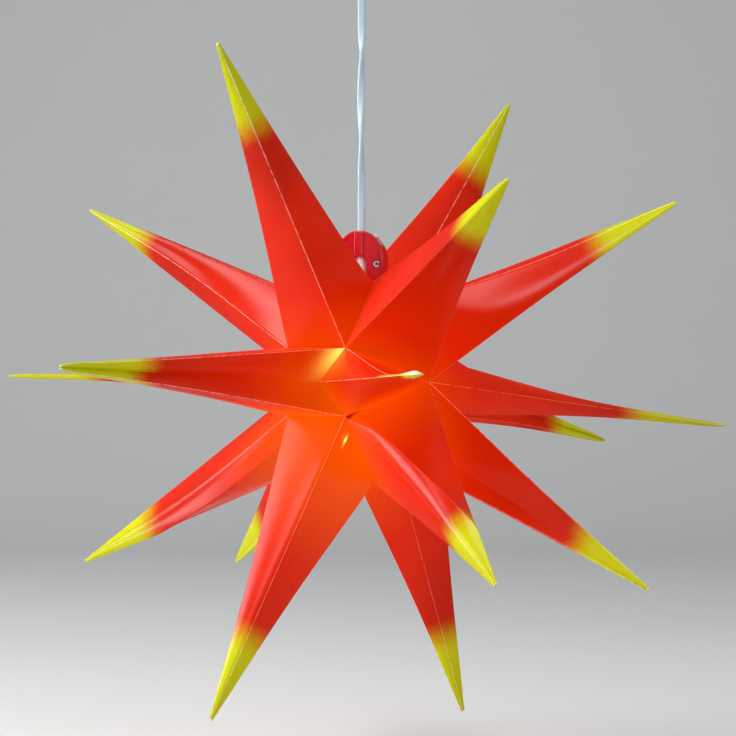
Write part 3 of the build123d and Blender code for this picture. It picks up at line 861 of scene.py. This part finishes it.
class CapOperator(Operator):
    """Finish the clamp cap's halves, pins and straps"""
    bl_idname = "film_star.cap"
    bl_label = "Clamp Cap"

    def execute(self, context):
        tint = settings().cap.red
        red = moulded("cap_gloss_red", tint, gloss=0.22, mottle=0.10, peel=0.04)
        # The straps' white stands in for the glints on them, a painted highlight
        white = moulded("strap_white_painted_glint", (0.80, 0.74, 0.73), gloss=0.25)
        # The pins' white heads stand in for the lit crescent in each hole, a painted highlight, and their
        # dark centres are painted shade in the hollows
        pin = Shade("pin_painted_glint_and_shade", Roughness=0.25)
        painted_hollow_shade = pin.math("ADD", *(pin.nearness(spot, HOLLOW_FULL, HOLLOW_END) for spot in PIN_HOLLOWS))
        pin.to(pin.mix(painted_hollow_shade, (0.84, 0.80, 0.80), (0.13, 0.02, 0.02)), "Base Color")
        dress(red, "cap_front", "cap_rear")
        dress(white, "cap_straps")
        dress(pin.material, "cap_pins")
        return {"FINISHED"}


class HolderOperator(Operator):
    """Finish the lampholder, its contacts and the ribbed retaining ring"""
    bl_idname = "film_star.holder"
    bl_label = "Lampholder"

    def execute(self, context):
        cap = settings().cap
        white = moulded("holder_white", cap.holder, gloss=0.35, mottle=0.06)
        brass = metal("contact_brass", (0.72, 0.50, 0.20))
        steel = metal("screw_steel", (0.62, 0.62, 0.64))
        dress(white, "lampholder_body", "lampholder_insert", "retaining_ring")
        dress(brass, "lampholder_sleeve", "lampholder_terminals", "centre_contact")
        dress(steel, "terminal_screws")
        dress(moulded("wire_brown", (0.22, 0.10, 0.05), gloss=0.4), "lead_wires")
        low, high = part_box("retaining_ring")
        mesh = ribs_tree().bake("ring_grip_ribs", {
            "Count": cap.ribs, "Radius": (high.x - low.x) / 2, "Size": (RIB_OUT, cap.rib_wide, RIB_TALL),
            "Lift": (0.0, 0.0, low.z + RIB_LIFT), "Material": white,
        })
        piece("ring_grip_ribs", mesh, "star", "holder_white")
        return {"FINISHED"}


# Lamp


# Noise scale of the faint mist in the opal globe
MIST_SCALE = 120.0


class LampOperator(Operator):
    """Finish the screw lamp: cap, housing, board, chips and glowing globe"""
    bl_idname = "film_star.lamp"
    bl_label = "LED Lamp"

    def execute(self, context):
        lamp = settings().lamp
        dress(metal("lamp_cap_metal", (0.76, 0.76, 0.77)), "lamp_cap")
        dress(metal("lamp_contact_brass", (0.70, 0.52, 0.25)), "lamp_contact")
        dress(moulded("insulator_black", (0.02, 0.02, 0.022), gloss=0.2), "lamp_insulator")
        dress(moulded("housing_white", (0.82, 0.82, 0.80), gloss=0.4), "lamp_housing")
        dress(moulded("board_white", (0.80, 0.82, 0.80), gloss=0.5), "led_board")
        dress(moulded("chip_yellow", (0.80, 0.62, 0.10), gloss=0.3), "led_chips")
        globe = Shade("opal_globe", Roughness=0.45, Emission_Strength=lamp.strength)
        mist = noise_out(globe.tree, object_place(globe.tree), MIST_SCALE)
        globe.to(globe.mix(mist, dimmed(lamp.opal, 0.94), lamp.opal), "Base Color")
        globe.to(globe.mix(mist, dimmed(lamp.light, 0.92), lamp.light), "Emission Color")
        dress(globe.material, "lamp_globe")
        return {"FINISHED"}


# Lead and hanging fitting


LEAD_LOW, LEAD_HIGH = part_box("lead")[0].z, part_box("lead")[1].z

# The lead's turn where it leaves the cap in degrees, its twist in turns at shares of its length, and the x
# and z of the places that it passes
LEAD_TURN = -12.0
LEAD_TWIST = ((0.0, 0.0), (0.12, 0.02), (0.318, 0.25), (0.493, 0.5), (0.65, 0.75), (0.765, 1.0), (1.0, 1.0))
LEAD_SPOTS = ((0.0002, -0.19), (-0.0006, -0.14), (0.0004, -0.09), (0.0, -0.05))

# Rings along the lead, its rounding as a share of its thickness, and steps round each corner
LEAD_RINGS, LEAD_ROUNDING, CORNER_STEPS = 160, 0.49, 7


def lead_route():
    """The lead's straight run from the cap up to the hanging fitting, as a smooth spline."""
    curve = bpy.data.curves.new("lead_route", "CURVE")
    curve.dimensions = "3D"
    spots = [(0.0, LEAD_LOW), *LEAD_SPOTS, (0.0, LEAD_HIGH)]
    spline = curve.splines.new("NURBS")
    spline.points.add(len(spots) - 1)
    for point, (x, z) in zip(spline.points, spots):
        point.co = (x, 0.0, z, 1.0)
    spline.order_u = 3
    spline.use_endpoint_u = True
    spline.resolution_u = 24
    return curve


def lead_tree():
    """Sweep a flat rounded section along the route, twisting as it goes."""
    tree = Tree("twisted_flat_lead", [
        ("Width", "Float"), ("Thickness", "Float"), ("Start Turn", "Float"), ("Material", "Material"),
    ], from_object=True)
    along = tree.add("GeometryNodeSplineParameter")
    twist = tree.add("ShaderNodeFloatCurve", {"Value": along.outputs["Factor"]})
    line = twist.mapping.curves[0]
    line.points[0].location = LEAD_TWIST[0]
    line.points[1].location = LEAD_TWIST[-1]
    for spot in LEAD_TWIST[1:-1]:
        line.points.new(*spot)
    twist.mapping.update()
    turn = tree.add("ShaderNodeMath", {0: twist.outputs[0], 1: 2 * pi}, operation="MULTIPLY")
    start = tree.add("ShaderNodeMath", {0: turn.outputs[0], 1: tree.value("Start Turn")}, operation="ADD")
    fine = tree.add("GeometryNodeResampleCurve", {"Curve": tree.value("Geometry"), "Count": LEAD_RINGS})
    normal = tree.add("GeometryNodeSetCurveNormal", {"Curve": fine.outputs[0]}, mode="MINIMUM_TWIST")
    tilted = tree.add("GeometryNodeSetCurveTilt", {"Curve": normal.outputs[0], "Tilt": start.outputs[0]})
    section = tree.add("GeometryNodeCurvePrimitiveQuadrilateral", {
        "Width": tree.value("Width"), "Height": tree.value("Thickness"),
    })
    half = tree.add("ShaderNodeMath", {0: tree.value("Thickness"), 1: LEAD_ROUNDING},
                    operation="MULTIPLY")
    rounded = tree.add("GeometryNodeFilletCurve", {
        "Curve": section.outputs[0], "Radius": half.outputs[0], "Count": CORNER_STEPS,
    }, mode="POLY")
    sweep = tree.add("GeometryNodeCurveToMesh", {
        "Curve": tilted.outputs[0], "Profile Curve": rounded.outputs[0], "Fill Caps": True,
    })
    smooth = tree.add("GeometryNodeSetShadeSmooth", {"Geometry": sweep.outputs[0]})
    tree.end(smooth.outputs[0])
    return tree


class LeadOperator(Operator):
    """Build the twisted flat lead from the cap up to the hanging fitting"""
    bl_idname = "film_star.lead"
    bl_label = "Flat Lead"

    def execute(self, context):
        lead = settings().lead
        sheath = moulded("lead_sheath", lead.white, gloss=0.38, mottle=0.08, peel=0.15)
        curve = lead_route()
        line = bpy.data.objects.new("lead_route", curve)
        bpy.context.scene.collection.objects.link(line)
        bpy.context.view_layer.update()
        route = bpy.data.meshes.new_from_object(line)
        mesh = lead_tree().bake("flat_lead", {
            "Width": lead.wide, "Thickness": lead.thick, "Start Turn": radians(LEAD_TURN) + pi / 2,
            "Material": sheath,
        }, curve)
        bpy.data.objects.remove(line)
        made = bpy.data.objects.new("flat_lead", mesh)
        bpy.context.scene.collection.objects.link(made)
        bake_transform(made)
        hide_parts("lead")
        dress(sheath, "lead_inner")
        return {"FINISHED"}


class HangerOperator(Operator):
    """Finish the hanging fitting at the lead's upper end"""
    bl_idname = "film_star.hanger"
    bl_label = "Hanging Fitting"

    def execute(self, context):
        # The hanger takes the lead's colour, with its painted daylight tint and shade
        white = moulded("hanger_white", settings().lead.white, gloss=0.4, mottle=0.06)
        dress(white, "hanger_body", "hanger_clamp")
        dress(metal("hanger_screw_steel", (0.62, 0.62, 0.64)), "hanger_screws")
        return {"FINISHED"}


# Stage


# The wide floor's half side, then the paper sweep's half width, front edge, foot, bend and top
FLOOR_HALF = 6.0
SWEEP_HALF, SWEEP_FRONT, SWEEP_FOOT, SWEEP_BEND, SWEEP_TOP = 1.6, -2.0, 2.2, 0.9, 1.8
BEND_STEPS, QUARTER_TURN = 9, 90.0

# Softboxes: azimuth from the front towards +X, rise and distance from the hub, then width, height, watts and
# spread
SOFTBOXES = {
    "key_softbox": (-25, 42, 2.5, 1.4, 1.4, 5.0, 180),
    "side_softbox": (-97, 30, 2.3, 0.42, 1.3, 15.0, 180),
    "low_softbox": (-72, -1, 2.3, 0.5, 0.45, 1.5, 50),
    "rim_softbox": (-108, 12, 2.3, 0.8, 0.9, 1.8, 50),
    "front_softbox": (-62, 29, 2.5, 0.66, 0.8, 20.0, 180),
    "top_softbox": (-67, 72, 2.3, 0.7, 0.7, 22.0, 180),
    "fill_softbox": (42, 16, 2.5, 2.0, 1.7, 21.0, 180),
}

# Where the camera aims beside the hub, in the picture's pixels, and a pixel's size at the star's axis
AIM_PIXELS = Vector((2.9, 0.0, 14.0))
PIXEL = 0.82 * MM
SENSOR_WIDTH = 36.0


def from_hub(turn, rise, away):
    """A place given by azimuth from the front towards +X, rise and distance from the hub."""
    turn, rise = radians(turn), radians(rise)
    return HUB + Vector((sin(turn) * cos(rise), -cos(turn) * cos(rise), sin(rise))) * away


def looking(place, target):
    """How a lamp or camera is turned to face a target."""
    return (target - place).to_track_quat("-Z", "Y").to_euler()


def soft_light(name, turn, rise, away, wide, tall, power, spread):
    data = bpy.data.lights.new(name, "AREA")
    data.shape = "ELLIPSE"
    data.size = wide
    data.size_y = tall
    data.energy = power
    data.spread = radians(spread)
    lamp = bpy.data.objects.new(name, data)
    lamp.location = from_hub(turn, rise, away)
    lamp.rotation_euler = looking(lamp.location, HUB)
    bpy.context.scene.collection.objects.link(lamp)


def sweep_profile():
    """The paper's line from the front of the floor, round the bend and up the wall."""
    line = [(SWEEP_FRONT, 0.0), (SWEEP_FOOT, 0.0)]
    for step in range(1, BEND_STEPS):
        turn = radians(QUARTER_TURN * step / BEND_STEPS)
        line.append((SWEEP_FOOT + SWEEP_BEND * sin(turn), SWEEP_BEND - SWEEP_BEND * cos(turn)))
    wall = SWEEP_FOOT + SWEEP_BEND
    return line + [(wall, SWEEP_BEND), (wall, SWEEP_TOP)]


def studio_sweep(stage):
    """The wide floor and, a millimetre above it, the paper sweep that rises behind the star."""
    bm = bmesh.new()
    corners = ((-FLOOR_HALF, -FLOOR_HALF), (FLOOR_HALF, -FLOOR_HALF), (FLOOR_HALF, FLOOR_HALF),
               (-FLOOR_HALF, FLOOR_HALF))
    bm.faces.new([bm.verts.new((x, y, -stage.depth - MM)) for x, y in corners])
    profile = sweep_profile()
    sides = (-SWEEP_HALF, SWEEP_HALF)
    left, right = ([bm.verts.new((x, y, z - stage.depth)) for y, z in profile] for x in sides)
    for k in range(len(profile) - 1):
        bm.faces.new((left[k], right[k], right[k + 1], left[k + 1]))
    mesh = bpy.data.meshes.new("studio_sweep")
    bm.to_mesh(mesh)
    bm.free()
    mesh.shade_smooth()
    paper = Shade("studio_paper", Roughness=0.9, Specular_IOR_Level=0.1)
    grain = noise_out(paper.tree, object_place(paper.tree), 3.0, 3.0)
    paper.to(paper.mix(grain, dimmed(stage.floor, 0.97), stage.floor), "Base Color")
    mesh.materials.append(paper.material)
    sweep = bpy.data.objects.new("studio_sweep", mesh)
    bpy.context.scene.collection.objects.link(sweep)


def soft_room(stage):
    world = bpy.data.worlds.new("soft_room")
    world.use_nodes = True
    background = world.node_tree.nodes["Background"]
    background.inputs["Color"].default_value = (*stage.room, 1.0)
    background.inputs["Strength"].default_value = stage.level
    bpy.context.scene.world = world


def photo_camera(stage):
    camera = bpy.data.cameras.new("photo_camera")
    camera.lens = stage.lens
    camera.sensor_width = SENSOR_WIDTH
    holder = bpy.data.objects.new("photo_camera", camera)
    holder.location = (0.0, -stage.away, HUB.z)
    holder.rotation_euler = looking(holder.location, HUB + AIM_PIXELS * PIXEL)
    bpy.context.scene.collection.objects.link(holder)
    bpy.context.scene.camera = holder


class StageOperator(Operator):
    """Set up the pale floor, soft light and the camera"""
    bl_idname = "film_star.stage"
    bl_label = "Stage"

    def execute(self, context):
        stage = settings().stage
        studio_sweep(stage)
        soft_room(stage)
        for name, values in SOFTBOXES.items():
            soft_light(name, *values)
        photo_camera(stage)
        bpy.context.scene.view_settings.view_transform = "Standard"
        return {"FINISHED"}


class StarPanel(Panel):
    """Sidebar panel that lists the star's pieces"""
    bl_idname = "VIEW3D_PT_film_star"
    bl_label = "Film Star Light"
    bl_space_type = "VIEW_3D"
    bl_region_type = "UI"
    bl_category = "Star"

    def draw(self, context):
        for operator in OPERATORS:
            self.layout.operator(operator.bl_idname)


OPERATORS = (LeadOperator, SpikesOperator, CapOperator, HolderOperator, LampOperator, HangerOperator,
             StageOperator)
CLASSES = (FilmSettings, CapSettings, LampSettings, LeadSettings, StageSettings, StarSettings)
CLASSES += OPERATORS + (StarPanel,)


def register():
    for entry in CLASSES:
        bpy.utils.register_class(entry)
    bpy.types.Scene.film_star = PointerProperty(type=StarSettings)


def unregister():
    del bpy.types.Scene.film_star
    for entry in reversed(CLASSES):
        bpy.utils.unregister_class(entry)


def main():
    register()
    bpy.ops.film_star.lead()
    bpy.ops.film_star.spikes()
    bpy.ops.film_star.cap()
    bpy.ops.film_star.holder()
    bpy.ops.film_star.lamp()
    bpy.ops.film_star.hanger()
    bpy.ops.film_star.stage()


if __name__ == "__main__":
    main()
